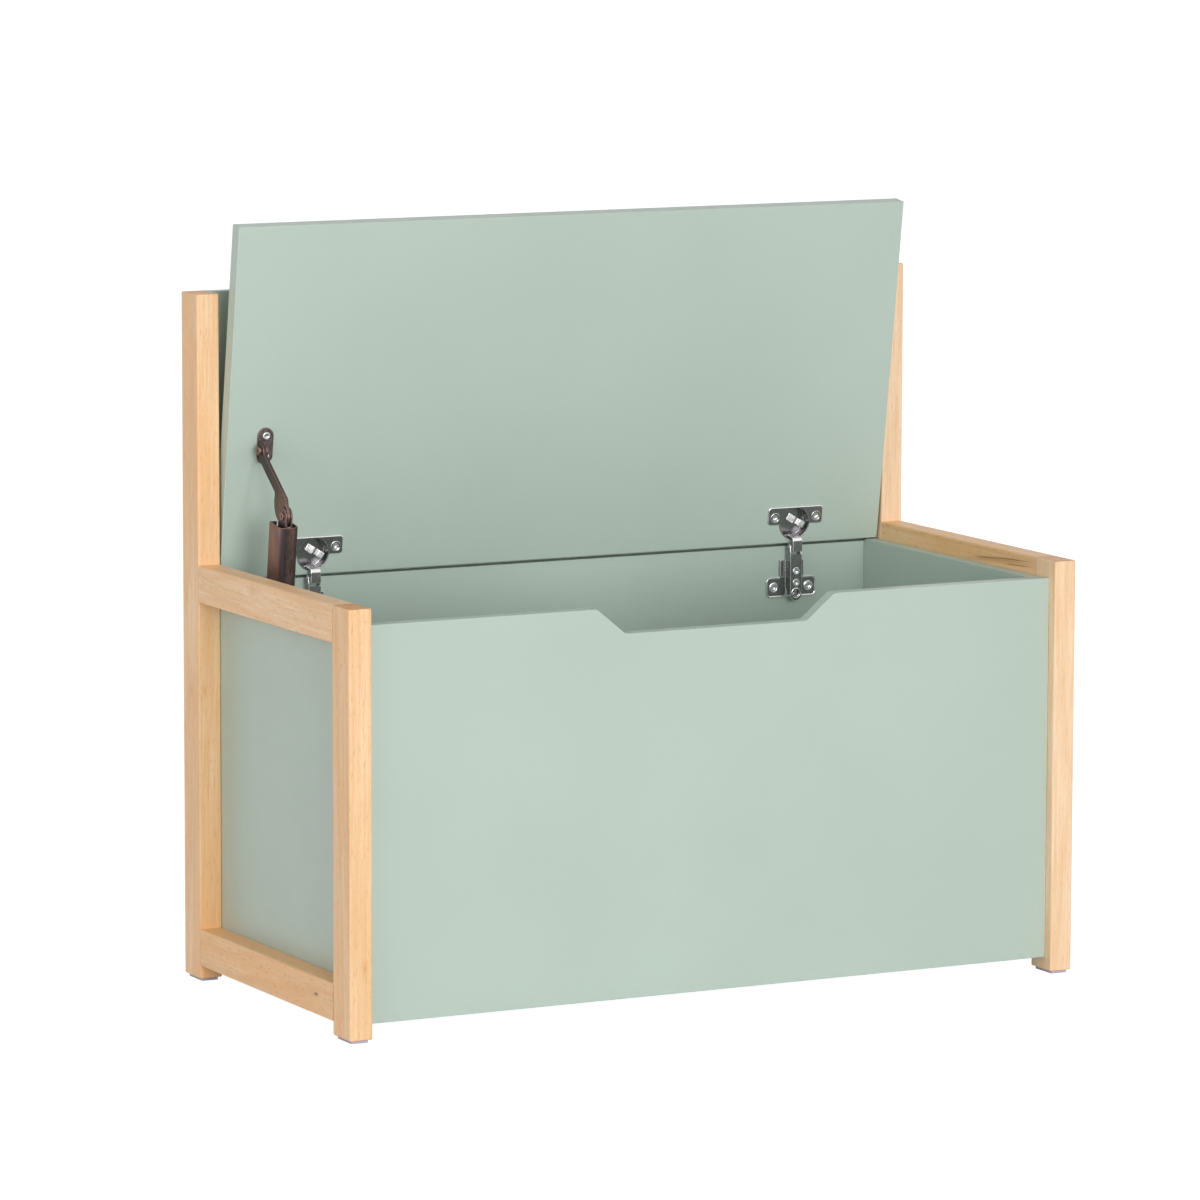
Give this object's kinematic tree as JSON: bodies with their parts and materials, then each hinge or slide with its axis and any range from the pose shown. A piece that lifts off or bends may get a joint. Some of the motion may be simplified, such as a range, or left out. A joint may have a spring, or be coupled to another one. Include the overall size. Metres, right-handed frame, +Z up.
{
  "type": "toy box bench",
  "caption": "Children's storage bench: box of painted panels between two timber side frames, with a backrest, a lifting lid on concealed hinges and a folding lid stay.",
  "frame": {"origin": "on the floor, under the middle of the object's footprint", "axes": "+X to the right as seen from the front, +Y to the back, +Z up; the lid is drawn open"},
  "size_m": [0.8, 0.385, 0.7562],
  "materials": {
    "timber": "clear satin lacquer on pale timber",
    "green_paint": "satin sage green paint on board",
    "dowel_beech": "plain turned beech",
    "nickel": "bright nickel plate",
    "bronze": "rubbed dark bronze",
    "copper_rivet": "copper-washed steel",
    "zinc": "zinc plate",
    "foot_pad": "matt"
  },
  "bodies": {
    "root": {"left_front_post": "timber", "right_front_post": "timber", "left_back_post": "timber", "right_back_post": "timber", "left_arm_rail": "timber", "right_arm_rail": "timber", "left_bottom_rail": "timber", "right_bottom_rail": "timber", "frame_dowels": "dowel_beech", "foot_pads": "foot_pad", "left_side_panel": "green_paint", "right_side_panel": "green_paint", "front_panel": "green_paint", "back_panel": "green_paint", "bottom_panel": "green_paint", "backrest_panel": "green_paint", "panel_dowels": "dowel_beech", "cam_bolts": "zinc", "cam_discs": "zinc", "backrest_screws": "zinc", "left_hinge_arm": "nickel", "right_hinge_arm": "nickel", "left_hinge_plate": "nickel", "right_hinge_plate": "nickel", "hinge_arm_pins": "zinc", "hinge_plate_screws": "nickel", "hinge_adjusting_screws": "zinc", "stay_side_bracket": "bronze", "stay_side_screws": "zinc", "stay_foot_rivet": "copper_rivet"},
    "lid": {"lid_panel": "green_paint", "left_hinge_cup": "nickel", "right_hinge_cup": "nickel", "hinge_cup_pins": "zinc", "hinge_cup_screws": "nickel", "stay_lid_bracket": "bronze", "stay_lid_rivet": "copper_rivet", "stay_lid_screws": "zinc"},
    "hinge_links": {"left_hinge_link": "nickel", "right_hinge_link": "nickel"},
    "stay_tube": {"stay_tube": "bronze", "stay_yoke": "bronze", "stay_elbow_rivet": "copper_rivet", "stay_spring_seat": "zinc", "stay_spring": "zinc"},
    "stay_arm": {"stay_arm": "bronze", "stay_arm_rivet": "copper_rivet"},
    "stay_plunger": {"stay_plunger": "zinc"}
  },
  "joints": [
    {"name": "lid_hinge", "type": "hinge", "parent": "root", "child": "lid", "pos_m": [0, 0.16801, 0.4088], "axis": [1, 0, 0], "range_deg": [0, 81.9]},
    {"name": "hinge_link_swing", "type": "hinge", "parent": "root", "child": "hinge_links", "pos_m": [0, 0.15739, 0.39751], "axis": [1, 0, 0], "range_deg": [-19.6, 0]},
    {"name": "stay_foot_pivot", "type": "hinge", "parent": "root", "child": "stay_tube", "pos_m": [-0.3425, 0.09551, 0.3562], "axis": [1, 0, 0], "range_deg": [0, 89.1]},
    {"name": "stay_elbow", "type": "hinge", "parent": "stay_tube", "child": "stay_arm", "pos_m": [-0.3425, 0.07324, 0.47283], "axis": [1, 0, 0], "range_deg": [-96.7, 0]},
    {"name": "stay_plunger_slide", "type": "slide", "parent": "stay_tube", "child": "stay_plunger", "axis": [0, 0.1252, -0.9921], "range_m": [0, 0.0178], "deforming": ["stay_spring"]}
  ],
  "couplings": [
    {"joint": "hinge_link_swing", "follows": "lid_hinge", "ratio": -0.23875},
    {"joint": "stay_foot_pivot", "follows": "lid_hinge", "ratio": 1.0869},
    {"joint": "stay_elbow", "follows": "lid_hinge", "ratio": -1.1801},
    {"joint": "stay_plunger_slide", "follows": "lid_hinge", "m_per_rad": 0.012391}
  ]
}
